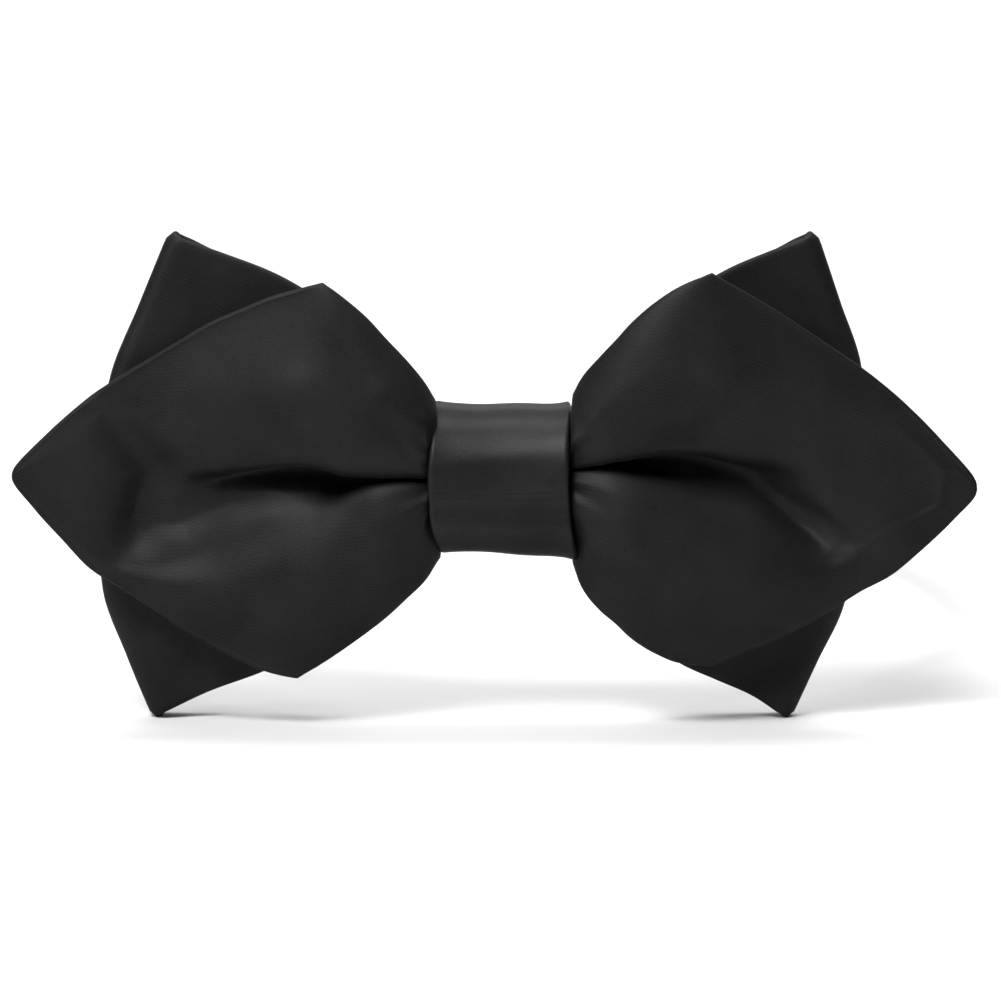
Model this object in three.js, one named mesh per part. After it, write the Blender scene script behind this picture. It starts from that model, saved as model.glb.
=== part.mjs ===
// A pre-tied diamond point bow tie that stands by itself. A pointed front bow and a square-cornered
// back bow are gathered in one knot, and a neck band runs through the knot and closes behind in a plain
// clasp. It rests on the back bow's two lower corners and on the clasp. Millimetres. +X is to the right
// of someone who looks at the bow, +Y runs away from them, and +Z is up.
import * as THREE from "three";

// The bow from the front. The knot isn't quite in its middle.
const BOW_WIDTH = 120;
const BOW_HEIGHT = 61.2;
const KNOT_RIGHT = 0.7;
const KNOT_RISE = 0.15;

// Each wall is doubled satin with an interlining.
const FRONT_CLOTH = 1.4;
const BACK_CLOTH = 1.2;
const KNOT_CLOTH = 1.3;
const BAND_CLOTH = 1.5;
const CLEARANCE = 0.4;

// The knot is wrapped round what it gathers, so its height and depth follow from the band and the two
// bows.
const KNOT_WIDTH = 17.2;
const KNOT_FLARE = 0.4;
const KNOT_SKEW = 0.7;
const KNOT_ROOM = 1.1;
const WAIST_DEPTH = 4.6;

// How far the front bow's folds stand forward, and how far the back bow's loops open.
const LOBE_DEPTH = 9;
const LOOP_OPENING = 4.4;
const LOOP_SWELL = 2.4;

// The closed neck band and its clasp.
const BAND_HEIGHT = 12;
const NECK_WIDTH = 111;
const NECK_DEPTH = 140;
const CLASP_LENGTH = 20;
const CLASP_THICKNESS = 1.6;
const CLASP_RIM = 1.5;
const CLASP_BAR = 2;
const FLAP_LENGTH = 9;

const halfKnot = KNOT_WIDTH / 2;
const knotHollow = BAND_HEIGHT / 2 + KNOT_ROOM;
const knotLevel = BOW_HEIGHT / 2 + KNOT_RISE;
const waistHalf = knotHollow - 1.5 * CLEARANCE - FRONT_CLOTH / 2;
const claspHeight = BAND_HEIGHT + 2 * (CLEARANCE + CLASP_RIM);

// Depths at the knot, counted from the plane that parts the two bows. Behind it come the back bow's two
// plies and the band.
const frontRest = (CLEARANCE + FRONT_CLOTH) / 2;
const frontPlyRest = (CLEARANCE + BACK_CLOTH) / 2;
const rearPlyRest = frontPlyRest + BACK_CLOTH + CLEARANCE;
const bandRest = rearPlyRest + (BACK_CLOTH + BAND_CLOTH) / 2 + CLEARANCE;
const knotFront = frontRest + WAIST_DEPTH + FRONT_CLOTH / 2 + 2 * CLEARANCE + KNOT_CLOTH / 2;
const knotRear = bandRest + BAND_CLOTH / 2 + CLEARANCE + KNOT_CLOTH / 2;

const lerp = THREE.MathUtils.lerp;
const clamp = THREE.MathUtils.clamp;

// A smooth curve through evenly spaced values, which never overshoots them.
function through(values, at) {
  const i = clamp(Math.floor(at), 0, values.length - 2);
  const t = at - i;
  const slope = (k) => values[k + 1] - values[k];
  const tangent = (k) => {
    if (k === 0) return slope(0);
    if (k === values.length - 1) return slope(k - 1);
    const product = slope(k - 1) * slope(k);
    return product > 0 ? (2 * product) / (slope(k - 1) + slope(k)) : 0;
  };
  const rise = slope(i);
  const bend = 3 * rise - 2 * tangent(i) - tangent(i + 1);
  const twist = tangent(i) + tangent(i + 1) - 2 * rise;
  return values[i] + t * (tangent(i) + t * (bend + t * twist));
}

// Reads a table's rows as a function of the way along them, from 0 to 1. Where a corner row is given,
// the columns of the outline turn sharply there, and the others stay smooth.
function readTable(columns, rows, cornerRow, outline = []) {
  return (share) => {
    const at = share * (rows.length - 1);
    const row = {};
    columns.forEach((name, c) => {
      const values = rows.map((r) => r[c]);
      if (!outline.includes(name)) row[name] = through(values, at);
      else if (at < cornerRow) row[name] = through(values.slice(0, cornerRow + 1), at);
      else row[name] = through(values.slice(cornerRow), at - cornerRow);
    });
    return row;
  };
}

// A closed solid of cloth around a grid of points on its middle surface. grid[i][j] runs along the
// piece with i and across it with j. A looped grid joins its last row to its first. Level cloth is
// thickened sideways only.
function clothSolid(grid, thickness, { looped = false, level = false } = {}) {
  const rows = grid.length;
  const columns = grid[0].length;
  const near = (i) => (looped ? (i + rows) % rows : clamp(i, 0, rows - 1));
  const points = [];
  const cell = (i, j, side) => (near(i) * columns + j) * 2 + side;
  for (let i = 0; i < rows; i++) {
    for (let j = 0; j < columns; j++) {
      const along = grid[near(i + 1)][j].clone().sub(grid[near(i - 1)][j]);
      const across = grid[i][Math.min(j + 1, columns - 1)].clone().sub(grid[i][Math.max(j - 1, 0)]);
      const normal = along.cross(across);
      if (level) normal.z = 0;
      normal.setLength(thickness / 2);
      points.push(grid[i][j].clone().add(normal), grid[i][j].clone().sub(normal));
    }
  }
  const faces = [];
  const quad = (a, b, c, d) => faces.push(a, b, c, a, c, d);
  const spans = looped ? rows : rows - 1;
  const last = columns - 1;
  for (let i = 0; i < spans; i++) {
    for (let j = 0; j < last; j++) {
      quad(cell(i, j, 0), cell(i + 1, j, 0), cell(i + 1, j + 1, 0), cell(i, j + 1, 0));
      quad(cell(i, j, 1), cell(i, j + 1, 1), cell(i + 1, j + 1, 1), cell(i + 1, j, 1));
    }
    quad(cell(i, 0, 0), cell(i, 0, 1), cell(i + 1, 0, 1), cell(i + 1, 0, 0));
    quad(cell(i, last, 0), cell(i + 1, last, 0), cell(i + 1, last, 1), cell(i, last, 1));
  }
  if (!looped) {
    for (let j = 0; j < last; j++) {
      quad(cell(0, j, 0), cell(0, j + 1, 0), cell(0, j + 1, 1), cell(0, j, 1));
      quad(cell(spans, j, 0), cell(spans, j, 1), cell(spans, j + 1, 1), cell(spans, j + 1, 0));
    }
  }
  const geometry = new THREE.BufferGeometry().setFromPoints(points);
  geometry.setIndex(faces);
  geometry.computeVertexNormals();
  return geometry;
}

// The front bow. Each row is a section across a wing, from the knot (first) to the point (last).
// Reaches are shares of the way from the knot to the point, at the top edge and at the lower edge.
// Levels (top, low, valley) are shares of half the bow's height, up from its mid-height. The crests and
// lips are shares of the way from the valley to that edge. Lifts, sink and edge are shares of the lobe
// depth, forward from the parting plane. Tuck is how far the two edges roll in behind the lobes, as a
// share of half the bow's height.
const SECTION_COLUMNS = [
  "topReach", "top", "lowReach", "low", "upperCrest", "upperLift", "upperLip",
  "valley", "sink", "lowerLip", "lowerCrest", "lowerLift", "edge", "tuck",
];
const OUTLINE_COLUMNS = ["topReach", "top", "lowReach", "low"];
const SHOULDER_ROW = 4;
const LEFT_WING = [
  [0.012, 0.37, 0.012, -0.35, 0.50, 0.84, 0.02, 0.035, 0.06, 0.02, 0.50, 0.84, 0.12, 0.05],
  [0.055, 0.49, 0.058, -0.50, 0.48, 0.96, 0.02, 0.035, 0.04, 0.02, 0.48, 0.96, 0.12, 0.05],
  [0.115, 0.62, 0.130, -0.60, 0.48, 1.00, 0.03, 0.025, 0.04, 0.04, 0.48, 1.00, 0.16, 0.04],
  [0.190, 0.74, 0.215, -0.70, 0.47, 1.00, 0.08, 0.025, 0.10, 0.08, 0.47, 1.00, 0.22, 0.02],
  [0.250, 0.82, 0.315, -0.80, 0.47, 0.94, 0.12, 0.015, 0.24, 0.12, 0.46, 0.97, 0.30, 0.00],
  [0.450, 0.71, 0.480, -0.70, 0.48, 0.80, 0.20, -0.015, 0.44, 0.16, 0.44, 0.92, 0.36, 0.00],
  [0.620, 0.56, 0.640, -0.56, 0.50, 0.66, 0.24, -0.015, 0.46, 0.20, 0.50, 0.80, 0.40, 0.00],
  [0.740, 0.43, 0.780, -0.39, 0.50, 0.52, 0.24, 0.045, 0.46, 0.24, 0.50, 0.62, 0.42, 0.00],
  [0.870, 0.24, 0.885, -0.20, 0.50, 0.44, 0.24, 0.045, 0.43, 0.24, 0.50, 0.46, 0.42, 0.00],
  [1.000, 0.075, 1.000, 0.01, 0.50, 0.42, 0.25, 0.045, 0.42, 0.25, 0.50, 0.42, 0.42, 0.00],
];
const RIGHT_WING = [
  [0.012, 0.37, 0.012, -0.35, 0.50, 0.84, 0.02, 0.05, 0.06, 0.02, 0.50, 0.90, 0.12, 0.05],
  [0.050, 0.48, 0.035, -0.49, 0.48, 0.96, 0.02, 0.07, 0.04, 0.02, 0.50, 0.98, 0.12, 0.05],
  [0.115, 0.61, 0.100, -0.59, 0.48, 1.00, 0.06, 0.08, 0.04, 0.03, 0.50, 1.00, 0.16, 0.04],
  [0.210, 0.75, 0.195, -0.69, 0.50, 1.00, 0.14, 0.08, 0.08, 0.05, 0.50, 1.00, 0.22, 0.02],
  [0.345, 0.86, 0.320, -0.745, 0.52, 0.94, 0.26, 0.05, 0.20, 0.05, 0.44, 0.96, 0.30, 0.00],
  [0.488, 0.72, 0.475, -0.625, 0.56, 0.80, 0.28, 0.01, 0.40, 0.08, 0.40, 0.88, 0.36, 0.00],
  [0.615, 0.59, 0.615, -0.525, 0.54, 0.68, 0.24, -0.03, 0.46, 0.16, 0.44, 0.78, 0.40, 0.00],
  [0.710, 0.475, 0.695, -0.48, 0.50, 0.56, 0.24, -0.07, 0.48, 0.22, 0.46, 0.66, 0.42, 0.00],
  [0.860, 0.26, 0.865, -0.29, 0.50, 0.46, 0.24, -0.03, 0.44, 0.24, 0.50, 0.48, 0.42, 0.00],
  [1.000, -0.02, 1.000, -0.085, 0.50, 0.42, 0.25, -0.047, 0.42, 0.25, 0.50, 0.42, 0.42, 0.00],
];
const WING_STEPS = 22;
const WAIST_STEPS = 4;
const STEPS_PER_FOLD = 3;
const LIP_LIFT = 0.6;
const ROLL_LIFT = 0.45;

// One section of the front bow as nine points, from the top edge over both lobes to the lower edge.
function sectionPoints(section) {
  const { top, low, valley, upperLip, lowerLip, upperCrest, lowerCrest } = section;
  const { upperLift, lowerLift, sink, edge, tuck } = section;
  const slit = FRONT_CLOTH / 2 + CLEARANCE / 2;
  const upperLipLevel = valley + slit + upperLip * (top - valley);
  const lowerLipLevel = valley - slit - lowerLip * (valley - low);
  const profile = [
    [top - tuck, edge],
    [top, lerp(edge, upperLift, ROLL_LIFT)],
    [lerp(valley, top, upperCrest), upperLift],
    [upperLipLevel, lerp(sink, upperLift, LIP_LIFT)],
    [valley, sink],
    [lowerLipLevel, lerp(sink, lowerLift, LIP_LIFT)],
    [lerp(valley, low, lowerCrest), lowerLift],
    [low, lerp(edge, lowerLift, ROLL_LIFT)],
    [low + tuck, edge],
  ];
  return profile.map(([level, lift]) => new THREE.Vector3(0, -frontRest - lift, level));
}

function sectionCurve(section, topX, lowX) {
  const curve = new THREE.CatmullRomCurve3(sectionPoints(section));
  const steps = STEPS_PER_FOLD * 8;
  return curve.getPoints(steps).map((point) => {
    const down = (section.top - point.z) / (section.top - section.low);
    return point.setX(lerp(topX, lowX, down)).setZ(point.z + BOW_HEIGHT / 2);
  });
}

// The gathered section inside the knot, centred on it.
const waistSection = {
  top: KNOT_RISE + waistHalf,
  low: KNOT_RISE - waistHalf,
  valley: KNOT_RISE,
  upperLip: 0,
  lowerLip: 0,
  upperCrest: 0.5,
  lowerCrest: 0.5,
  upperLift: WAIST_DEPTH,
  lowerLift: WAIST_DEPTH,
  sink: 0,
  edge: 0,
  tuck: FRONT_CLOTH / 2,
};

// Where a bow leaves the knot on one side, clear of its edge. The skewed knot reaches further on the
// lower right.
const knotExit = (side) => halfKnot + FRONT_CLOTH / 2 + CLEARANCE + (side > 0 ? KNOT_SKEW : 0);

function frontWing(side, table) {
  const read = readTable(SECTION_COLUMNS, table, SHOULDER_ROW, OUTLINE_COLUMNS);
  const exit = knotExit(side);
  const reach = BOW_WIDTH / 2 - side * KNOT_RIGHT;
  const half = (BOW_HEIGHT - FRONT_CLOTH) / 2;
  const sections = [sectionCurve(waistSection, side * exit, side * exit)];
  for (let i = 0; i <= WING_STEPS; i++) {
    const row = read(i / WING_STEPS);
    const section = { ...row };
    for (const name of ["top", "low", "valley", "tuck"]) section[name] = row[name] * half;
    for (const name of ["upperLift", "lowerLift", "sink", "edge"]) section[name] = row[name] * LOBE_DEPTH;
    const [topX, lowX] = [row.topReach, row.lowReach].map((share) => side * lerp(exit, reach, share));
    sections.push(sectionCurve(section, topX, lowX));
  }
  return sections;
}

function frontBow() {
  const left = frontWing(-1, LEFT_WING).reverse();
  const right = frontWing(1, RIGHT_WING);
  const waist = [];
  for (let i = 1; i < WAIST_STEPS; i++) {
    const x = lerp(-knotExit(-1), knotExit(1), i / WAIST_STEPS);
    waist.push(sectionCurve(waistSection, x, x));
  }
  return clothSolid([...left, ...waist, ...right], FRONT_CLOTH);
}

// The back bow is one strip of cloth closed in a flat loop, open at the top and below, and gathered in
// the knot. Each row is a line down the strip, from the knot (first) to the fold (last). Reach is a
// share of the way to the fold. Top and low are shares of half the bow's height, and set back is a
// share of the loop's opening, for each ply.
const LOOP_COLUMNS = ["reach", "top", "low", "frontSetBack", "rearSetBack", "swell"];
const LEFT_LOOP = [
  [0.02, 0.26, -0.28, 0.00, 0.00, 0.0],
  [0.08, 0.38, -0.40, 0.00, 0.00, 0.2],
  [0.20, 0.56, -0.58, 0.04, 0.03, 0.7],
  [0.40, 0.74, -0.75, 0.10, 0.28, 1.0],
  [0.65, 0.86, -0.85, 0.14, 0.62, 0.9],
  [0.92, 0.955, -0.945, 0.12, 0.60, 0.4],
  [0.97, 0.98, -1.00, 0.12, 0.56, 0.2],
  [1.00, 1.00, -1.00, 0.14, 0.52, 0.0],
];
const RIGHT_LOOP = [
  [0.02, 0.26, -0.28, 0.00, 0.00, 0.0],
  [0.08, 0.38, -0.40, 0.00, 0.00, 0.2],
  [0.20, 0.56, -0.60, 0.04, 0.03, 0.7],
  [0.40, 0.74, -0.77, 0.10, 0.28, 1.0],
  [0.65, 0.87, -0.86, 0.14, 0.62, 0.9],
  [0.92, 0.955, -0.95, 0.12, 0.60, 0.4],
  [0.97, 0.98, -1.00, 0.12, 0.56, 0.2],
  [1.00, 1.00, -1.00, 0.14, 0.52, 0.0],
];
// The outer face of the loop's fold: how far out it lies at the top, at mid-height and below, as shares
// of half the bow's width.
const LEFT_FOLD = { top: 0.672, middle: 0.83, low: 0.70 };
const RIGHT_FOLD = { top: 0.664, middle: 0.78, low: 0.614 };
const PLY_STEPS = 14;
const FOLD_STEPS = 4;
const LOOP_ROWS = 12;

// One line down a ply of a loop, from its top edge to its lower one.
function loopLine(side, row, fold, foldRadius, ply) {
  const exit = knotExit(side);
  const half = BOW_HEIGHT / 2;
  const line = [];
  for (let j = 0; j <= LOOP_ROWS; j++) {
    const down = j / LOOP_ROWS;
    const level = lerp(row.top, row.low, down) * half;
    const bulge = 4 * down * (1 - down) * (fold.middle - (fold.top + fold.low) / 2);
    const outerFace = ((lerp(fold.top, fold.low, down) + bulge) * BOW_WIDTH) / 2;
    const x = lerp(exit, outerFace - BACK_CLOTH / 2 - foldRadius, row.reach);
    // The rear ply swells above and below the neck band, and stays flat where the band lies on it.
    const flat = knotHollow + CLEARANCE;
    const edge = Math.abs(level > 0 ? row.top : row.low) * half;
    const swelling = clamp((Math.abs(level - KNOT_RISE) - flat) / Math.max(edge - flat, CLEARANCE), 0, 1);
    const swell = row.swell * LOOP_SWELL * Math.sin(Math.PI * swelling) ** 2;
    const y = ply === "front"
      ? frontPlyRest + row.frontSetBack * LOOP_OPENING
      : rearPlyRest + row.rearSetBack * LOOP_OPENING + swell;
    line.push(new THREE.Vector3(side * x, y, level + half));
  }
  return line;
}

// The round end of a loop: a half turn from the front ply's last line to the rear ply's.
function foldLines(frontLine, rearLine, side, radius) {
  const lines = [];
  for (let i = 1; i < FOLD_STEPS; i++) {
    const turn = (Math.PI * i) / FOLD_STEPS;
    lines.push(frontLine.map((front, j) => {
      const y = lerp(front.y, rearLine[j].y, (1 - Math.cos(turn)) / 2);
      return new THREE.Vector3(front.x + side * radius * Math.sin(turn), y, front.z);
    }));
  }
  return lines;
}

function waistLines(y) {
  const half = waistHalf - CLEARANCE;
  return [-1, 0, 1].map((share) => {
    const line = [];
    for (let j = 0; j <= LOOP_ROWS; j++) {
      const level = knotLevel + lerp(half, -half, j / LOOP_ROWS);
      line.push(new THREE.Vector3(share * (halfKnot - CLEARANCE), y, level));
    }
    return line;
  });
}

function loop(side, table, fold) {
  const read = readTable(LOOP_COLUMNS, table);
  const end = read(1);
  const foldOpening = rearPlyRest - frontPlyRest + (end.rearSetBack - end.frontSetBack) * LOOP_OPENING;
  const plies = { front: [], rear: [] };
  for (const ply of ["front", "rear"]) {
    for (let i = 0; i <= PLY_STEPS; i++) {
      plies[ply].push(loopLine(side, read(i / PLY_STEPS), fold, foldOpening / 2, ply));
    }
  }
  const turned = foldLines(plies.front[PLY_STEPS], plies.rear[PLY_STEPS], side, foldOpening / 2);
  return [...plies.front, ...turned, ...plies.rear.reverse()];
}

function backBow() {
  const left = loop(-1, LEFT_LOOP, LEFT_FOLD).reverse();
  const right = loop(1, RIGHT_LOOP, RIGHT_FOLD);
  const frontWaist = waistLines(frontPlyRest);
  const rearWaist = waistLines(rearPlyRest).reverse();
  const ring = [...left, ...frontWaist, ...right, ...rearWaist];
  return clothSolid(ring, BACK_CLOTH, { looped: true, level: true });
}

// The knot is a strip wrapped round the waist: round in front and flatter behind. Its edges flare a
// little, and the pull of the bow skews its lower side to the right.
const KNOT_TURNS = 48;
const KNOT_COLUMNS = 6;
const FRONT_ROUNDNESS = 2.9;
const REAR_ROUNDNESS = 10;

function knot() {
  const height = knotHollow + KNOT_CLOTH / 2;
  const grid = [];
  for (let i = 0; i < KNOT_TURNS; i++) {
    const turn = (2 * Math.PI * i) / KNOT_TURNS;
    const roundness = Math.cos(turn) > 0 ? FRONT_ROUNDNESS : REAR_ROUNDNESS;
    const depth = Math.cos(turn) > 0 ? -knotFront : knotRear;
    const y = depth * Math.abs(Math.cos(turn)) ** (2 / roundness);
    const rise = Math.sign(Math.sin(turn)) * Math.abs(Math.sin(turn)) ** (2 / roundness);
    const skew = KNOT_SKEW * Math.max(0, -rise) ** 2;
    const line = [];
    for (let j = 0; j <= KNOT_COLUMNS; j++) {
      const across = lerp(-1, 1, j / KNOT_COLUMNS);
      const flare = KNOT_FLARE * across ** 4;
      line.push(new THREE.Vector3(across * halfKnot + skew, y, knotLevel + rise * (height + flare)));
    }
    grid.push(line);
  }
  return clothSolid(grid, KNOT_CLOTH, { looped: true });
}

// The neck band runs straight through the knot and past the clasp, in half ellipses between them, and
// comes down evenly to the clasp. Each end turns round a bar of the clasp and back inside the band.
const TURN_STEPS = 34;
const HAIRPIN_STEPS = 6;
const straight = Math.max(halfKnot + KNOT_SKEW, CLASP_LENGTH / 2) + CLEARANCE;
const rearY = bandRest + NECK_DEPTH;
const hairpin = (CLASP_THICKNESS + BAND_CLOTH) / 2 + CLEARANCE;
const hairpinX = CLASP_LENGTH / 2 - CLASP_BAR - CLEARANCE;

function halfBand() {
  const path = [[0, bandRest], [straight, bandRest]];
  for (let i = 1; i <= TURN_STEPS; i++) {
    const turn = (Math.PI * i) / TURN_STEPS;
    const x = straight + (NECK_WIDTH / 2 - straight) * Math.sin(turn);
    path.push([x, bandRest + (NECK_DEPTH / 2) * (1 - Math.cos(turn))]);
  }
  for (let i = 0; i <= HAIRPIN_STEPS; i++) {
    const turn = (Math.PI * i) / HAIRPIN_STEPS;
    path.push([hairpinX - hairpin * Math.sin(turn), rearY - hairpin * (1 - Math.cos(turn))]);
  }
  path.push([hairpinX + FLAP_LENGTH, rearY - 2 * hairpin]);
  return path;
}

function neckBand() {
  const right = halfBand();
  const left = right.slice(1).map(([x, y]) => [-x, y]).reverse();
  const path = [...left, ...right];
  const grid = path.map(([x, y]) => {
    const fall = clamp((y - bandRest) / (NECK_DEPTH - 2 * hairpin), 0, 1);
    const level = lerp(knotLevel, claspHeight / 2, fall);
    return [level + BAND_HEIGHT / 2, level - BAND_HEIGHT / 2].map((z) => new THREE.Vector3(x, y, z));
  });
  return clothSolid(grid, BAND_CLOTH, { level: true });
}

// The clasp is a flat frame, and each end of the band turns round one of its two side bars.
function clasp() {
  const rectangle = (halfLength, bottom, top, path) => {
    path.moveTo(-halfLength, bottom).lineTo(halfLength, bottom);
    return path.lineTo(halfLength, top).lineTo(-halfLength, top);
  };
  const frame = rectangle(CLASP_LENGTH / 2, 0, claspHeight, new THREE.Shape());
  const halfWindow = CLASP_LENGTH / 2 - CLASP_BAR;
  frame.holes.push(rectangle(halfWindow, CLASP_RIM, claspHeight - CLASP_RIM, new THREE.Path()));
  const geometry = new THREE.ExtrudeGeometry(frame, { depth: CLASP_THICKNESS, bevelEnabled: false });
  geometry.rotateX(Math.PI / 2);
  geometry.translate(0, rearY - hairpin + CLASP_THICKNESS / 2, 0);
  return geometry;
}

const satin = new THREE.MeshStandardMaterial({ color: 0x252525, roughness: 0.55, metalness: 0 });
const knotSatin = new THREE.MeshStandardMaterial({ color: 0x2b2b2b, roughness: 0.42, metalness: 0 });
const ribbon = new THREE.MeshStandardMaterial({ color: 0x1d1d1d, roughness: 0.7, metalness: 0 });
const blackMetal = new THREE.MeshStandardMaterial({ color: 0x161616, roughness: 0.35, metalness: 0.8 });

const bowTie = new THREE.Group();
for (const [name, geometry, material] of [
  ["front_bow", frontBow(), satin],
  ["back_bow", backBow(), satin],
  ["knot", knot(), knotSatin],
  ["neck_band", neckBand(), ribbon],
  ["clasp", clasp(), blackMetal],
]) {
  const piece = new THREE.Mesh(geometry, material);
  piece.name = name;
  bowTie.add(piece);
}

// The origin is on the surface that the bow tie stands on, under the middle of its box.
const box = new THREE.Box3().setFromObject(bowTie);
bowTie.position.set(-(box.min.x + box.max.x) / 2, -(box.min.y + box.max.y) / 2, 0);

export default bowTie;
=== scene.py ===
"""Looks for a ready-tied diamond point bow tie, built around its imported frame.

The frame is in metres, with +Z up and the bow facing -Y. Tables here are in millimetres: "out" is the
distance from the bow's middle line, and "lift" is the distance forward of the plane that parts the front bow
from the back bow. The front bow's heights are as the camera shows them, and all others are above the floor.
"""

import math

import bpy
import numpy as np
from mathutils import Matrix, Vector


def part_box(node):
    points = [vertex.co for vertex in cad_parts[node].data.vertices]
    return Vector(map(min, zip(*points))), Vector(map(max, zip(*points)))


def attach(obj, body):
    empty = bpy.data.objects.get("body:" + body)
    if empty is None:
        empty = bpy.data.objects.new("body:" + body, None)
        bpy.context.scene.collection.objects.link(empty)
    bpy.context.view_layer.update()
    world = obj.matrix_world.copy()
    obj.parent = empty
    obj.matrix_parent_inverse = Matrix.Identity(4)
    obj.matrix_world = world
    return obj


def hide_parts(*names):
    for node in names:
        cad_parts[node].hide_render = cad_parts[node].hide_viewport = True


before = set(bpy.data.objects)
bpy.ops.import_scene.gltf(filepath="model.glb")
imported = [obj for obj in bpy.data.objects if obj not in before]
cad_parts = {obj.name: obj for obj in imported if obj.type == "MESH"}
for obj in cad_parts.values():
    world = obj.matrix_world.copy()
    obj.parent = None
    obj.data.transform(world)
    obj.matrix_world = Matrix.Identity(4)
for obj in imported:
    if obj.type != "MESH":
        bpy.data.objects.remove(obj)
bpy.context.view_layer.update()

MM = 0.001


def node_box(name):
    """Lowest and highest corner of a frame node, in millimetres."""
    low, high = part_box(name)
    return np.array(low) / MM, np.array(high) / MM


_, FRONT_HIGH = node_box("front_bow")
_, BACK_HIGH = node_box("back_bow")
KNOT_LOW, KNOT_HIGH = node_box("knot")
BAND_LOW, BAND_HIGH = node_box("neck_band")
CLASP_LOW, CLASP_HIGH = node_box("clasp")

CLEARANCE = 0.4
PARTING_Y = FRONT_HIGH[1] + CLEARANCE / 2

FRONT_CLOTH = 1.3
BACK_CLOTH = 1.2
KNOT_CLOTH = 1.3
BAND_CLOTH = 1.5
BAND_WIDTH = 12.0


# Curves and tables


def smooth_rows(table, columns, stations, corner=None, outline=()):
    """Reads a table's columns at the given values of its first column, on curves that never overshoot.

    The columns named in outline turn sharply at the corner row."""
    rows = np.array(table, float)
    read = {}
    for index, name in enumerate(columns):
        if name in outline and corner is not None:
            edge = rows[corner, 0]
            inner = monotone(rows[: corner + 1, 0], rows[: corner + 1, index], stations)
            outer = monotone(rows[corner:, 0], rows[corner:, index], stations)
            read[name] = np.where(stations < edge, inner, outer)
        else:
            read[name] = monotone(rows[:, 0], rows[:, index], stations)
    return read


def monotone(xs, ys, at):
    """A smooth curve through points, without overshoot (Fritsch and Carlson's slopes)."""
    widths = np.diff(xs)
    rises = np.diff(ys) / widths
    slopes = np.zeros(len(xs))
    if len(xs) > 2:
        before, after = rises[:-1], rises[1:]
        same = before * after > 0
        weight_a = 2 * widths[1:] + widths[:-1]
        weight_b = widths[1:] + 2 * widths[:-1]
        safe_before = np.where(same, before, 1)
        safe_after = np.where(same, after, 1)
        mean = (weight_a + weight_b) / (weight_a / safe_before + weight_b / safe_after)
        slopes[1:-1] = np.where(same, mean, 0)
    slopes[0] = rises[0]
    slopes[-1] = rises[-1]
    at = np.clip(at, xs[0], xs[-1])
    cell = np.clip(np.searchsorted(xs, at, side="right") - 1, 0, len(xs) - 2)
    width = widths[cell]
    t = (at - xs[cell]) / width
    a = ys[cell] * (1 + 2 * t) * (1 - t) ** 2 + ys[cell + 1] * t * t * (3 - 2 * t)
    b = slopes[cell] * t * (1 - t) ** 2 - slopes[cell + 1] * t * t * (1 - t)
    return a + width * b


def spline_through(points, steps):
    """Centripetal Catmull-Rom curves through rows of points: points is (rows, knots, 2), and steps counts the
    samples in each span. Centripetal spacing keeps a tight fold from looping over itself."""
    first = 2 * points[:, :1] - points[:, 1:2]
    last = 2 * points[:, -1:] - points[:, -2:-1]
    p = np.concatenate([first, points, last], axis=1)
    gaps = np.maximum(np.linalg.norm(np.diff(p, axis=1), axis=2), 1e-4) ** 0.5
    out = []
    for k, count in enumerate(steps):
        p0, p1, p2, p3 = (p[:, k + i] for i in range(4))
        d0, d1, d2 = (gaps[:, k + i][:, None] for i in range(3))
        m1 = (p1 - p0) / d0 - (p2 - p0) / (d0 + d1) + (p2 - p1) / d1
        m2 = (p2 - p1) / d1 - (p3 - p1) / (d1 + d2) + (p3 - p2) / d2
        for t in np.linspace(0, 1, count, endpoint=False):
            h = (2 * t**3 - 3 * t**2 + 1) * p1 + (3 * t**2 - 2 * t**3) * p2
            out.append(h + ((t**3 - 2 * t**2 + t) * m1 + (t**3 - t**2) * m2) * d1)
    out.append(points[:, -1])
    return np.stack(out, axis=1)


def smoothstep(x):
    x = np.clip(x, 0, 1)
    return x * x * (3 - 2 * x)


def softened(values, step, width):
    """Evenly spaced values, blurred. Their ends run on straight."""
    reach = int(3 * width / step)
    before = values[0] + (values[0] - values[1]) * np.arange(reach, 0, -1)
    after = values[-1] + (values[-1] - values[-2]) * np.arange(1, reach + 1)
    weights = np.exp(-((np.arange(-reach, reach + 1) * step / width) ** 2) / 2)
    return np.convolve(np.concatenate([before, values, after]), weights / weights.sum(), mode="valid")


# The camera's place: its distance from its aim, its angle above the floor, the width that it shows there, and
# the aim (frame x, lift and height). A height as shown is counted up from SHOWN_FLOOR below the aim.
VIEW_DISTANCE = 750.0
VIEW_ELEVATION = math.radians(9.0)
VIEW_WIDTH = 124.3
VIEW_AIM = (0.75, 4.0, 28.55)
SHOWN_FLOOR = 26.81


def as_shown(side, out, shown, lift):
    """Points in the frame, from where the camera shows them and how far forward they lie."""
    sin, cos = math.sin(VIEW_ELEVATION), math.cos(VIEW_ELEVATION)
    behind = VIEW_AIM[1] - lift
    up = shown - SHOWN_FLOOR
    ahead = VIEW_DISTANCE * cos + up * sin
    rise = (up * (VIEW_DISTANCE + cos * behind) - VIEW_DISTANCE * sin * behind) / ahead
    depth = VIEW_DISTANCE + cos * behind - sin * rise
    x = VIEW_AIM[0] + (side * out - VIEW_AIM[0]) * depth / VIEW_DISTANCE
    return np.stack([x, PARTING_Y - lift, VIEW_AIM[2] + rise], axis=-1)


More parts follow.
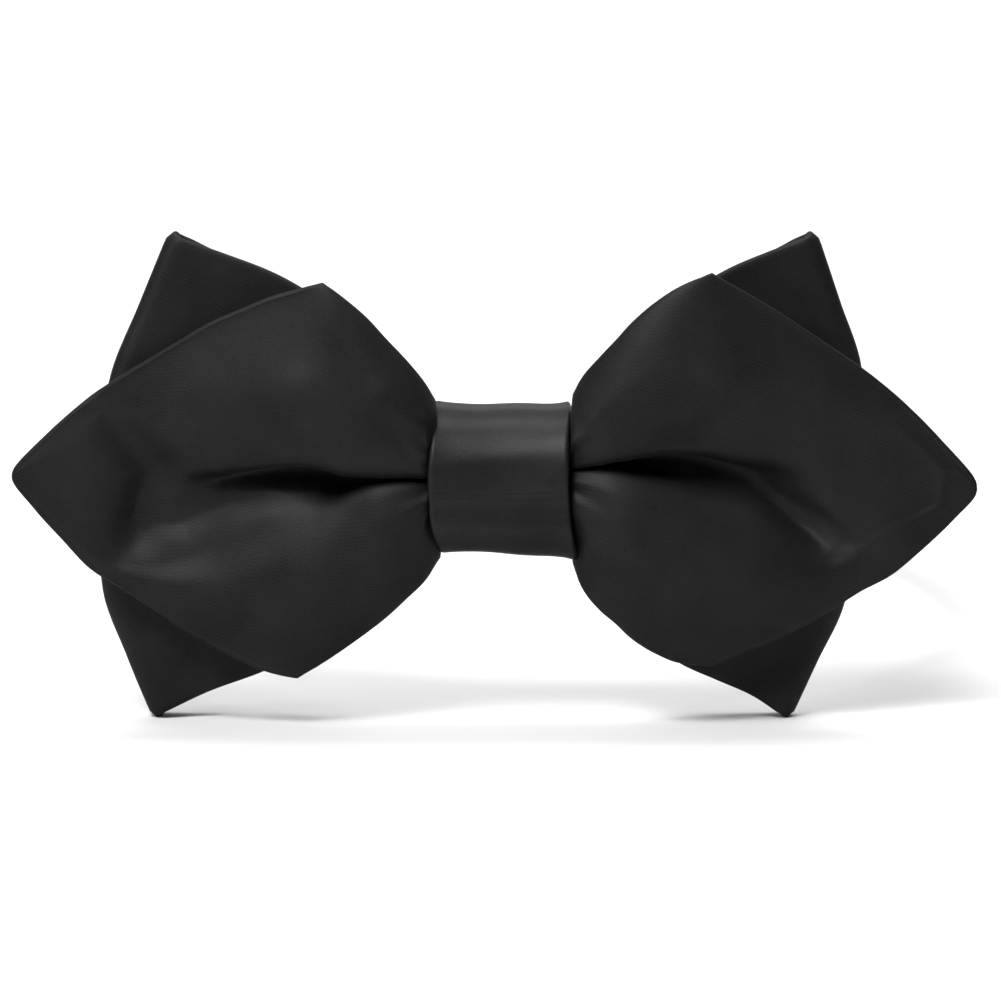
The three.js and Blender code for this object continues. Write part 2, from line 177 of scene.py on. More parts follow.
def as_seen(side, points):
    """Where the camera shows points of the frame: out and height as shown."""
    sin, cos = math.sin(VIEW_ELEVATION), math.cos(VIEW_ELEVATION)
    across = points[..., 0] - VIEW_AIM[0]
    behind = points[..., 1] - PARTING_Y + VIEW_AIM[1]
    rise = points[..., 2] - VIEW_AIM[2]
    nearer = VIEW_DISTANCE / (VIEW_DISTANCE + cos * behind - sin * rise)
    return side * (VIEW_AIM[0] + across * nearer), SHOWN_FLOOR + (sin * behind + cos * rise) * nearer


# Meshes


def unit(v):
    return v / np.maximum(np.linalg.norm(v, axis=-1, keepdims=True), 1e-9)


def grid_normals(grid, looped):
    """Normals of a grid of points: towards the viewer where rows run right and columns run down."""
    if looped:
        along = np.roll(grid, -1, axis=0) - np.roll(grid, 1, axis=0)
    else:
        along = np.gradient(grid, axis=0)
    return unit(np.cross(np.gradient(grid, axis=1), along))


# How far a rounded cloth edge reaches beyond the end of its flat side, as a share of half its thickness, and
# its length round the edge, as a share of the thickness.
EDGE_REACH = 0.55
EDGE_LENGTH = 1.5
# UV units for each millimetre of cloth.
WEAVE_UNIT = 0.01


def cloth_wrap(grid, thickness, looped=False, rim_steps=5, centred=False, end_rows=0):
    """The points round each section of a cloth: its outer side, an edge, its inner side and the other edge.

    grid is its outer surface, or its middle surface if centred: rows along the piece and columns across it.
    The last rows at each end, where the cloth narrows to a point, face the way of the row before them."""
    normals = grid_normals(grid, looped)
    if end_rows:
        normals[:end_rows] = normals[end_rows]
        normals[-end_rows:] = normals[-end_rows - 1]
    outer = grid + normals * (thickness / 2 if centred else 0)
    middle = outer - normals * thickness / 2
    ends = []
    for j, inner in ((-1, -2), (0, 1)):
        edge = grid[:, j]
        if looped:
            along = np.roll(edge, -1, axis=0) - np.roll(edge, 1, axis=0)
        else:
            along = np.gradient(edge, axis=0)
        way = unit(np.cross(along, normals[:, j]))
        way *= np.sign(np.sum(way * (edge - grid[:, inner])))
        rim = []
        for k in range(1, rim_steps):
            turn = math.pi * k / rim_steps
            side = math.cos(turn) if j == -1 else -math.cos(turn)
            offset = normals[:, j] * side + way * math.sin(turn) * EDGE_REACH
            rim.append(middle[:, j] + offset * thickness / 2)
        ends.append(np.stack(rim, axis=1))
    under = (outer - normals * thickness)[:, ::-1]
    return np.concatenate([outer, ends[0], under, ends[1]], axis=1)


def cloth_mesh(name, grid, weave, thickness, looped=False, rim_steps=5, centred=False, end_rows=0):
    """A closed mesh of cloth with rounded edges. weave gives each grid point's place in the flat cloth, in
    millimetres, and becomes the UV map that the weave follows."""
    wrap = cloth_wrap(grid, thickness, looped, rim_steps, centred, end_rows)
    edge_turns = np.arange(1, rim_steps) / rim_steps * thickness * EDGE_LENGTH
    low_edge = np.repeat(weave[:, -1:], rim_steps - 1, axis=1)
    low_edge[:, :, 1] -= edge_turns
    top_edge = np.repeat(weave[:, :1], rim_steps - 1, axis=1)
    top_edge[:, :, 1] += edge_turns[::-1]
    uv = np.concatenate([weave, low_edge, weave[:, ::-1], top_edge], axis=1)
    rows, columns = wrap.shape[:2]
    vertices = wrap.reshape(-1, 3) * MM
    faces, corners = [], []
    spans = rows if looped else rows - 1
    uv_wide = np.concatenate([uv, uv[:, :1]], axis=1)
    for i in range(spans):
        k = (i + 1) % rows
        for j in range(columns):
            m = (j + 1) % columns
            faces.append((i * columns + j, i * columns + m, k * columns + m, k * columns + j))
            beyond = uv_wide[k] if k else uv_wide[k] + (uv_wide[i] - uv_wide[i - 1])
            corners += [uv_wide[i][j], uv_wide[i][j + 1], beyond[j + 1], beyond[j]]
    if not looped:
        count = grid.shape[1]
        back = count + rim_steps - 1
        for row, flip in ((0, False), (rows - 1, True)):
            base = row * columns
            loop = [base + j for j in range(columns)]
            under = loop[back : back + count][::-1]
            ladder = [(loop[j], loop[j + 1], under[j + 1], under[j]) for j in range(count - 1)]
            caps = [tuple(loop[count - 1 : back + 1]), (*loop[back + count - 1 :], loop[0])]
            for face in [*ladder, *caps]:
                face = face if flip else face[::-1]
                faces.append(face)
                corners += [uv[row][v - base] for v in face]
    smooth = [k < spans * columns for k in range(len(faces))]
    mesh = bpy.data.meshes.new(name)
    mesh.from_pydata(vertices.tolist(), [], faces)
    layer = mesh.uv_layers.new(name="Weave")
    layer.data.foreach_set("uv", (np.array(corners, np.float32) * WEAVE_UNIT).ravel())
    mesh.polygons.foreach_set("use_smooth", smooth)
    mesh.update()
    piece = bpy.data.objects.new(name, mesh)
    bpy.context.scene.collection.objects.link(piece)
    return piece


def across_lengths(grid, zero_column):
    """The length along each row from its zero column, larger towards the top edge."""
    steps = np.linalg.norm(np.diff(grid, axis=1), axis=2)
    down = np.concatenate([np.zeros((len(grid), 1)), np.cumsum(steps, axis=1)], axis=1)
    return down[:, zero_column : zero_column + 1] - down


# The front bow

WING_COLUMNS = [
    "out", "top", "top_lift", "upper", "upper_lift", "lip", "lip_lift", "hollow", "hollow_lift",
    "crease", "crease_lift", "ridge", "ridge_lift", "lower", "lower_lift", "low", "low_lift", "roll",
]
LEFT_WING = [
    [7.3, 39.3, 4.2, 34.6, 7.8, 29.9, 6.8, 29.6, 1.4, 29.4, 1.4, 29.0, 6.6, 24.6, 7.8, 19.1, 4.2, 1.6],
    [8.5, 41.3, 4.9, 35.8, 8.4, 30.0, 7.4, 29.6, 1.4, 29.4, 1.4, 28.9, 7.2, 23.6, 8.3, 16.9, 4.8, 1.7],
    [10.5, 43.8, 5.6, 37.2, 9.1, 30.0, 8.0, 29.7, 1.4, 29.3, 1.4, 28.7, 7.7, 22.4, 9.0, 14.95, 5.2, 1.6],
    [13.6, 47.1, 6.0, 38.6, 9.3, 30.1, 8.4, 29.7, 1.4, 29.35, 1.4, 28.9, 8.0, 20.6, 9.4, 12.1, 5.4, 1.4],
    [15.8, 49.5, 6.3, 39.4, 9.5, 30.1, 8.8, 29.75, 1.4, 29.15, 1.5, 28.3, 7.7, 19.6, 9.5, 10.4, 5.4, 1.2],
    [18.6, 51.9, 6.5, 39.9, 9.4, 30.3, 8.8, 30.0, 1.4, 28.4, 2.2, 26.8, 7.2, 18.6, 9.3, 8.4, 5.2, 0.9],
    [21.3, 53.9, 6.4, 40.2, 9.1, 31.0, 8.5, 30.7, 1.4, 27.9, 4.2, 25.0, 6.7, 17.6, 8.9, 6.6, 4.9, 0.5],
    [24.6, 53.05, 6.0, 40.2, 8.5, 31.6, 7.8, 31.3, 1.4, 27.4, 4.4, 23.8, 6.4, 16.6, 8.2, 4.65, 4.6, 0.2],
    [27.9, 52.1, 5.6, 40.0, 7.8, 31.3, 7.2, 30.9, 1.4, 27.5, 4.2, 22.8, 5.8, 16.2, 7.5, 5.4, 4.3, 0.0],
    [31.6, 50.6, 5.2, 39.4, 7.2, 30.9, 6.4, 30.2, 1.4, 27.4, 3.4, 21.8, 5.1, 15.8, 6.8, 6.9, 4.0, 0.0],
    [35.3, 49.0, 4.8, 38.6, 6.4, 30.8, 5.0, 29.4, 2.4, 26.6, 2.9, 20.6, 3.8, 15.6, 5.6, 8.75, 3.8, 0.0],
    [39.0, 46.85, 4.5, 37.8, 5.8, 30.8, 4.3, 28.4, 3.2, 24.6, 2.6, 19.6, 3.4, 15.6, 4.8, 10.9, 3.7, 0.0],
    [42.75, 44.6, 4.3, 37.4, 5.2, 30.6, 4.2, 26.6, 3.2, 21.8, 2.7, 18.8, 3.5, 16.2, 4.4, 13.5, 3.8, 0.0],
    [46.5, 42.3, 4.2, 36.4, 4.8, 30.2, 4.3, 25.4, 4.0, 20.8, 3.7, 18.9, 3.9, 17.4, 4.2, 15.95, 3.9, 0.0],
    [50.2, 39.8, 4.2, 34.8, 4.8, 30.2, 4.8, 26.4, 4.7, 22.6, 4.6, 20.8, 4.5, 19.6, 4.4, 18.3, 4.0, 0.0],
    [53.9, 36.7, 4.3, 33.4, 4.7, 31.0, 4.8, 28.8, 4.8, 26.4, 4.8, 24.8, 4.7, 23.4, 4.6, 22.15, 4.2, 0.0],
    [57.6, 33.2, 4.4, 31.8, 4.6, 30.9, 4.6, 30.1, 4.6, 29.2, 4.6, 28.2, 4.6, 27.2, 4.5, 26.1, 4.3, 0.0],
    [60.0, 30.9, 4.4, 30.5, 4.4, 30.3, 4.4, 30.0, 4.4, 29.7, 4.4, 29.4, 4.4, 29.0, 4.4, 28.7, 4.4, 0.0],
]
LEFT_TOP_CORNER, LEFT_LOW_CORNER = 6, 7
RIGHT_WING = [
    [9.7, 40.0, 4.0, 35.6, 6.8, 31.1, 5.8, 30.9, 1.4, 30.7, 1.4, 30.3, 5.8, 25.4, 7.0, 19.0, 4.0, 1.6],
    [10.7, 41.9, 4.5, 36.8, 7.3, 31.2, 6.5, 31.0, 1.4, 30.8, 1.4, 30.3, 6.4, 24.2, 7.6, 16.2, 4.5, 1.7],
    [13.1, 44.7, 5.2, 38.4, 8.3, 31.7, 7.4, 31.4, 1.4, 31.1, 1.4, 30.4, 6.8, 22.6, 8.7, 13.1, 5.0, 1.6],
    [15.0, 46.7, 5.7, 39.6, 8.8, 32.0, 8.0, 31.7, 1.4, 31.4, 1.6, 30.0, 7.0, 21.8, 9.2, 11.5, 5.2, 1.4],
    [16.9, 48.8, 6.1, 41.0, 9.1, 32.4, 8.4, 32.1, 1.4, 31.3, 2.0, 29.4, 7.2, 20.8, 9.4, 9.7, 5.3, 1.3],
    [19.9, 51.4, 6.5, 42.6, 9.2, 32.9, 8.1, 32.5, 1.4, 31.0, 2.8, 28.6, 7.0, 19.6, 9.3, 7.8, 5.2, 1.1],
    [23.0, 53.4, 6.6, 43.8, 8.8, 33.2, 7.4, 32.7, 1.4, 30.2, 3.2, 27.6, 6.7, 18.6, 8.9, 6.6, 5.0, 0.8],
    [27.0, 55.1, 6.4, 44.2, 8.2, 32.8, 6.5, 32.0, 1.4, 29.0, 3.0, 26.2, 6.2, 17.6, 8.2, 6.2, 4.6, 0.4],
    [30.5, 53.1, 6.0, 43.6, 7.5, 32.1, 5.9, 31.0, 1.6, 28.4, 2.4, 25.4, 5.5, 17.2, 7.5, 7.6, 4.3, 0.1],
    [34.2, 51.0, 5.5, 42.6, 6.8, 32.0, 5.4, 30.0, 2.6, 27.2, 2.2, 24.0, 4.8, 17.0, 6.6, 9.1, 4.0, 0.0],
    [37.9, 48.6, 5.1, 41.4, 6.1, 32.0, 5.1, 28.6, 3.7, 24.4, 2.9, 21.6, 4.3, 16.8, 5.8, 10.9, 3.8, 0.0],
    [41.6, 46.1, 4.7, 40.0, 5.5, 32.0, 4.8, 27.4, 4.1, 21.4, 3.7, 19.2, 4.2, 17.0, 4.7, 13.0, 3.6, 0.0],
    [45.4, 43.5, 4.3, 38.4, 5.0, 32.2, 4.6, 27.6, 4.2, 22.4, 3.9, 20.4, 4.0, 18.6, 4.1, 15.45, 3.5, 0.0],
    [49.1, 40.6, 4.0, 36.6, 4.5, 32.2, 4.4, 28.2, 4.3, 24.0, 4.2, 21.8, 4.1, 20.2, 3.9, 17.4, 3.5, 0.0],
    [52.8, 37.2, 3.8, 34.4, 4.2, 31.4, 4.2, 28.8, 4.1, 26.0, 4.1, 24.0, 4.0, 22.4, 3.9, 20.4, 3.6, 0.0],
    [56.5, 33.3, 3.8, 31.8, 4.0, 30.3, 4.0, 29.2, 4.0, 28.0, 4.0, 26.6, 4.0, 25.2, 3.9, 23.8, 3.7, 0.0],
    [60.0, 29.6, 3.8, 29.2, 3.8, 28.9, 3.8, 28.6, 3.8, 28.3, 3.8, 28.0, 3.8, 27.5, 3.8, 27.0, 3.8, 0.0],
]
RIGHT_TOP_CORNER, RIGHT_LOW_CORNER = 7, 7

# The steps in each span of a section, and the distance between sections.
SPAN_STEPS = (6, 30, 30, 12, 16, 18, 24, 28, 6)
SECTION_GAP = 0.36
# The tables' columns are read at this step and blurred by SOFTNESS.
FINE_STEP = 0.1
SOFTNESS = 1.5
# The wing's point: the length over which sections lie ever closer, their count, the square root of the last
# one's share of that length, and how blunt the point is.
TIP_LENGTH = 2
TIP_ROWS = 17
TIP_LAST = 0.004
TIP_ROUNDING = 0.7
# The flat stretch beside a rounded edge, the roll at which an edge is wholly rolled over, and the share of
# the roll by which its end then lies inward.
EDGE_FLAT = 0.4
FULL_ROLL = 1.2
ROLL_INWARD = 0.3
# The least lift inside the slit, and the width of the blend towards it.
DEEPEST_LIFT = 1.5
DEPTH_BLEND = 0.4
# How far from the point the fit to the outline begins to fade, and over what length. The same for its
# correction.
FIT_UNTIL, FIT_FADE = 10, 5
CORRECTED_UNTIL, CORRECTED_FADE = 5, 3
# The outline is corrected this many times, by a share of what it still lacks, blurred along the wing.
OUTLINE_ROUNDS = 4
OUTLINE_SHARE = 0.7
OUTLINE_BLUR = 0.9
# Beside the knot a wing may keep clear of the knot's straight side: half that side's height, the height of
# the bend beyond it, and the distance over which this fades.
KNOT_SIDE = 5
KNOT_BEND = 3.5
KNOT_FADE = 1.5
# Pleats beside the knot: their counts round the slit, their depth and length, and how far inside they meet.
GATHER_COUNTS = (9, 14, 21)
GATHER_DEPTH = 2.2
GATHER_LENGTH = 3.2
GATHER_MEETING = 5
# The waist inside the knot: its sections' shares of the way, half its height, its share of the wings' lift
# and its least lift.
WAIST_SHARES = (0.03, 0.5, 0.97)
WAIST_HALF_HEIGHT = 6.2
WAIST_FLATNESS = 0.72
WAIST_LEAST_LIFT = 1.6

# Dents and ridges: each is a line of points (out, height, width, lift), whose lift fades away from the line.
LEFT_MARKS = {
    "valley beside the point": [
        (48.6, 38.0, 1.9, -0.5), (45.2, 34.4, 2.6, -1.7), (42.2, 30.8, 3.0, -2.6),
        (43.0, 26.0, 2.8, -2.5), (46.8, 21.0, 2.6, -0.6),
    ],
    "valley beyond the hollow": [(27.0, 26.9, 1.3, -0.3), (33.0, 26.5, 1.8, -0.9), (38.5, 25.0, 2.2, -1.1)],
    "dent in the lower lobe": [(17.4, 24.5, 2.0, -0.4), (19.2, 15.2, 3.0, -0.3)],
    "bulge above the slit": [(24.2, 40.2, 3.0, 0.4), (20.0, 36.0, 2.8, 0.1)],
    "pull towards the knot": [(9.8, 36.4, 1.2, 0.4), (13.8, 39.6, 2.4, 0.45)],
    "pull beside the knot": [(10.6, 33.0, 0.9, -0.3), (14.4, 37.2, 1.4, -0.15)],
    "pull below the knot": [(10.0, 22.4, 0.9, -0.3), (13.0, 17.4, 1.5, -0.1)],
}
RIGHT_MARKS = {
    "dark branch above the hollow": [
        (21.0, 34.2, 1.4, -0.5), (25.0, 35.2, 1.9, -1.2), (30.0, 37.8, 2.0, -0.5),
    ],
    "crease beyond the hollow": [(33.4, 28.2, 1.3, -0.7), (37.2, 25.0, 1.8, -1.8), (41.8, 20.8, 1.7, -0.3)],
    "second crease": [(37.0, 28.0, 1.3, -0.3), (40.6, 24.6, 1.2, -0.8), (45.2, 20.8, 1.1, -0.15)],
    "seam edge under the cloth": [
        (50.6, 35.6, 0.8, 0.15), (55.7, 30.5, 0.7, 0.4), (55.3, 25.9, 0.7, 0.36), (47.3, 21.7, 0.9, 0.2),
        (43.0, 18.7, 1.0, 0.04),
    ],
    "dent in the lower lobe": [(20.4, 22.4, 2.6, -0.5), (21.6, 17.4, 3.0, -0.4)],
    "pull beside the knot": [(12.0, 37.2, 1.0, 0.3), (15.4, 40.8, 1.8, 0.1)],
    "pull below the knot": [(12.2, 27.6, 1.2, -0.12), (14.8, 23.4, 1.8, -0.1)],
}


def lift_of_marks(marks, out, z):
    """The lift that a wing's dents and ridges add at each point."""
    total = np.zeros_like(out)
    for points in marks.values():
        mark = np.zeros_like(out)
        for (out_a, z_a, width_a, lift_a), (out_b, z_b, width_b, lift_b) in zip(points, points[1:]):
            along = np.array([out_b - out_a, z_b - z_a])
            share = np.clip(((out - out_a) * along[0] + (z - z_a) * along[1]) / (along @ along), 0, 1)
            away = np.hypot(out - out_a - share * along[0], z - z_a - share * along[1])
            width = width_a + (width_b - width_a) * share
            lift = (lift_a + (lift_b - lift_a) * share) * np.exp(-((away / width) ** 2))
            mark = np.where(np.abs(lift) > np.abs(mark), lift, mark)
        total += mark
    return total


def gathers(out, z, exit_out, middle, seed):
    """Small pleats that fan out from the knot and fade."""
    rng = np.random.default_rng(seed)
    angle = np.arctan2(z - middle, out - exit_out + GATHER_MEETING)
    fade = np.exp(-np.maximum(out - exit_out, 0) / GATHER_LENGTH)
    total = np.zeros_like(out)
    for count in GATHER_COUNTS:
        total += np.sin(angle * count + rng.uniform(0, 6.28)) / count
    return GATHER_DEPTH * fade * total


def wing_outline(table, corners, stations):
    """The heights of the outline's top and low edge, as shown."""
    top = smooth_rows(table, WING_COLUMNS, stations, corners[0], ("top",))["top"]
    low = smooth_rows(table, WING_COLUMNS, stations, corners[1], ("low",))["low"]
    return top, low


def wing_edges(table, corners, stations, tip, rolled):
    """The cloth's top and low edge. Where it isn't rolled over there, they lie inside the outline by what its
    rounded edge adds."""
    edges = []
    for level, inward in zip(wing_outline(table, corners, stations), (-1, 1)):
        slope = np.gradient(level, stations)
        edges.append(level + inward * EDGE_REACH * FRONT_CLOTH / 2 * np.hypot(1, slope) * (1 - rolled))
    middle, half = (edges[0] + edges[1]) / 2, (edges[0] - edges[1]) / 2
    left = tip - stations
    half *= np.sqrt(left * (left + 2 * TIP_ROUNDING)) / (left + TIP_ROUNDING)
    return middle + half, middle - half


def excess(side, grid, table, corners, stations):
    """How far each section's cloth is seen above the outline's top edge, and below its low edge."""
    seen_out, seen_z = as_seen(side, cloth_wrap(grid[::side], FRONT_CLOTH))
    seen_out, seen_z = seen_out.ravel(), seen_z.ravel()
    top, low = wing_outline(table, corners, seen_out)
    found = []
    for over in (seen_z - top, low - seen_z):
        row = [over[np.abs(seen_out - station) < SECTION_GAP * 0.7].max() for station in stations]
        found.append(softened(np.array(row), SECTION_GAP, OUTLINE_BLUR))
    return found


def read_beyond(z, known_z, known_lift):
    """Lift at each height from a section's known points, which run down, and straight on past the first."""
    lift = np.interp(z, known_z[::-1], known_lift[::-1])
    slope = (known_lift[0] - known_lift[1]) / (known_z[0] - known_z[1])
    return np.where(z > known_z[0], known_lift[0] + slope * (z - known_z[0]), lift)


def fit_to_edge(z, lift, edge, crest_index, end_index, amount):
    """Moves each section's points between its crest and its end so that they reach the edge, on the same
    surface."""
    step = 1 if end_index > crest_index else -1
    columns = np.arange(crest_index, end_index + step, step)
    up = 1 if z[0, end_index] > z[0, crest_index] else -1
    for i in range(len(z)):
        known_z, known_lift = z[i, columns].copy(), lift[i, columns].copy()
        share = (known_z - known_z[0]) / (known_z[-1] - known_z[0])
        moved = known_z + share * (edge[i] - known_z[-1]) * amount[i]
        level = read_beyond(up * moved, (up * known_z)[::-1], known_lift[::-1])
        beyond = slice(end_index + 1, None) if step == 1 else slice(0, end_index)
        z[i, beyond] += moved[-1] - known_z[-1]
        lift[i, beyond] += level[-1] - known_lift[-1]
        z[i, columns], lift[i, columns] = moved, level


def wing_sections(side, table, corners, marks, seed, clear_side, tuck):
    """One wing of the front bow as a grid of points: rows from the knot to the point, columns from the top.

    Its surface is smooth under the corners of its outline. clear_side is how far it keeps from the knot's
    straight side, and tuck how far it reaches in under the knot's low corner."""
    first = dict(zip(WING_COLUMNS, table[0]))
    knot_end, table_end = table[0][0], table[-1][0]
    tip = table_end - EDGE_REACH * FRONT_CLOTH / 2
    stations = np.arange(knot_end, tip - TIP_LENGTH, SECTION_GAP)
    near_tip = tip - TIP_LENGTH * np.linspace(1, TIP_LAST, TIP_ROWS + 1) ** 2
    stations = np.concatenate([stations, near_tip])
    for corner in corners:
        out_of_corner = table[corner][0]
        stations[np.argmin(np.abs(stations - out_of_corner))] = out_of_corner
    stations = np.unique(stations)
    fine = np.arange(knot_end, table_end, FINE_STEP)
    exact = smooth_rows(table, WING_COLUMNS, fine)
    read = {}
    for name in WING_COLUMNS[1:]:
        read[name] = np.interp(stations, fine, softened(exact[name], FINE_STEP, SOFTNESS))
    rolled = smoothstep(read["roll"] / FULL_ROLL)
    flat = (1 - rolled) * EDGE_FLAT
    inward = ROLL_INWARD * read["roll"] * rolled
    points = [
        (read["top"] - inward, read["top_lift"] - read["roll"] * rolled),
        (read["top"] - flat, read["top_lift"]),
        (read["upper"], read["upper_lift"]),
        (read["lip"], read["lip_lift"]),
        (read["hollow"], read["hollow_lift"]),
        (read["crease"], read["crease_lift"]),
        (read["ridge"], read["ridge_lift"]),
        (read["lower"], read["lower_lift"]),
        (read["low"] + flat, read["low_lift"]),
        (read["low"] + inward, read["low_lift"] - read["roll"] * rolled),
    ]
    profile = spline_through(np.stack([np.stack(p, axis=1) for p in points], axis=1), SPAN_STEPS)
    z, lift = profile[:, :, 0].copy(), profile[:, :, 1].copy()
    top, low = wing_edges(table, corners, stations, tip, rolled)
    top_end, crest, lobe, low_end = np.cumsum(SPAN_STEPS)[[0, 1, 6, 7]]
    amount = (1 - smoothstep((stations - tip + FIT_UNTIL) / FIT_FADE)) * (1 - rolled)
    fit_to_edge(z, lift, top, crest, top_end, amount)
    fit_to_edge(z, lift, low, lobe, low_end, amount)
    reached = z.max(axis=1), z.min(axis=1)
    middle, half = (reached[0] + reached[1]) / 2, (reached[0] - reached[1]) / 2
    z = (top + low)[:, None] / 2 + (z - middle[:, None]) * ((top - low) / 2 / half)[:, None]
    out = np.repeat(stations[:, None], z.shape[1], axis=1)
    lift = lift + lift_of_marks(marks, out, z)
    lift = lift + gathers(out, z, knot_end, first["hollow"], seed)
    above = lift[:, crest:lobe] - DEEPEST_LIFT
    lift[:, crest:lobe] = DEEPEST_LIFT + (above + np.hypot(above, DEPTH_BLEND)) / 2
    beside = np.exp(-(stations - knot_end) / KNOT_FADE)[:, None]
    away = z - (first["top"] + first["low"]) / 2
    straight = 1 - smoothstep((np.abs(away) - KNOT_SIDE) / KNOT_BEND)
    out = out + beside * (clear_side * straight - tuck * smoothstep((-away - KNOT_SIDE) / KNOT_BEND))
    columns = np.arange(z.shape[1])
    pull_top = np.clip((crest - columns) / (crest - top_end), 0, 1)
    pull_low = np.clip((columns - lobe) / (low_end - lobe), 0, 1)
    far = 1 - smoothstep((stations - tip + CORRECTED_UNTIL) / CORRECTED_FADE)
    for _ in range(OUTLINE_ROUNDS):
        over_top, over_low = excess(side, as_shown(side, out, z, lift), table, corners, stations)
        z += OUTLINE_SHARE * ((over_low * far)[:, None] * pull_low - (over_top * far)[:, None] * pull_top)
    return as_shown(side, out, z, lift)


def waist_sections(left, right):
    """The gathered cloth inside the knot: three squeezed sections between the wings."""
    middle_z = (KNOT_LOW[2] + KNOT_HIGH[2]) / 2
    rows = []
    for share in WAIST_SHARES:
        section = left * (1 - share) + right * share
        z = section[:, 2] - middle_z
        squeeze = WAIST_HALF_HEIGHT / np.abs(z).max()
        lift = np.maximum((PARTING_Y - section[:, 1]) * WAIST_FLATNESS, WAIST_LEAST_LIFT)
        rows.append(np.stack([section[:, 0], PARTING_Y - lift, middle_z + z * squeeze], axis=1))
    return np.array(rows)


def front_bow():
    corners = (LEFT_TOP_CORNER, LEFT_LOW_CORNER)
    left = wing_sections(-1, LEFT_WING, corners, LEFT_MARKS, seed=3, clear_side=1.0, tuck=0.6)
    corners = (RIGHT_TOP_CORNER, RIGHT_LOW_CORNER)
    right = wing_sections(1, RIGHT_WING, corners, RIGHT_MARKS, seed=8, clear_side=0.0, tuck=0.0)
    grid = np.concatenate([left[::-1], waist_sections(left[0], right[0]), right])
    slit_column = sum(SPAN_STEPS[:4])
    weave = np.stack([grid[:, :, 0], across_lengths(grid, slit_column)], axis=2)
    return cloth_mesh("front_bow_cloth", grid, weave, FRONT_CLOTH, end_rows=TIP_ROWS)


# The back bow

LOOP_COLUMNS = ["reach", "top", "low", "front_lift", "rear_lift", "swell"]
LEFT_LOOP = [
    [0.00, 37.4, 23.6, -0.8, -2.4, 0.0],
    [0.06, 41.6, 19.4, -0.8, -2.4, 0.2],
    [0.20, 47.6, 13.6, -1.0, -2.6, 1.2],
    [0.40, 53.1, 8.9, -1.2, -3.6, 2.2],
    [0.60, 56.5, 5.8, -1.4, -4.6, 2.2],
    [0.80, 58.7, 3.5, -1.4, -4.8, 1.6],
    [1.00, 60.6, 0.8, -1.4, -4.7, 0.0],
]
RIGHT_LOOP = [
    [0.00, 37.4, 23.6, -0.8, -2.4, 0.0],
    [0.06, 41.6, 19.4, -0.8, -2.4, 0.2],
    [0.20, 47.6, 12.8, -1.0, -2.6, 1.2],
    [0.46, 53.9, 6.95, -1.2, -3.8, 2.2],
    [0.64, 56.9, 4.9, -1.4, -4.7, 2.2],
    [0.83, 59.0, 2.95, -1.4, -4.8, 1.6],
    [1.00, 60.6, 0.7, -1.4, -4.7, 0.0],
]
# The loop's folded end: how far out it lies, at shares of the way down from its top.
FOLD_COLUMNS = ["down", "out"]
LEFT_FOLD = [[0, 40.6], [0.15, 44.4], [0.3, 48.1], [0.5, 50.2], [0.73, 49.3], [0.87, 46.4], [1, 43.2]]
RIGHT_FOLD = [[0, 40.2], [0.14, 43.1], [0.28, 45.9], [0.5, 47.0], [0.77, 43.9], [0.88, 40.8], [1, 37.5]]
CORNER_RADIUS = 0.7
PLY_SECTIONS = 46
# Sections lie closer together towards the fold.
PLY_SPACING = 0.85
FOLD_SECTIONS = 12
LOOP_ROWS = 90
# Half the height over which the plies stay flat beside the band, the front ply's share of the swell, and where
# and how steeply that share sets in.
BAND_REST = 7.6
FRONT_SWELL = 0.25
SWELL_START, SWELL_STEEPNESS = 0.3, 3
# How much lower the rear ply's upper half lies away from the fold, and over which share of the way it drops.
REAR_DROP = 0.5
REAR_DROP_FADE = 0.15
# The plies come out from the knot this far from its sides.
KNOT_MARGIN = 0.6


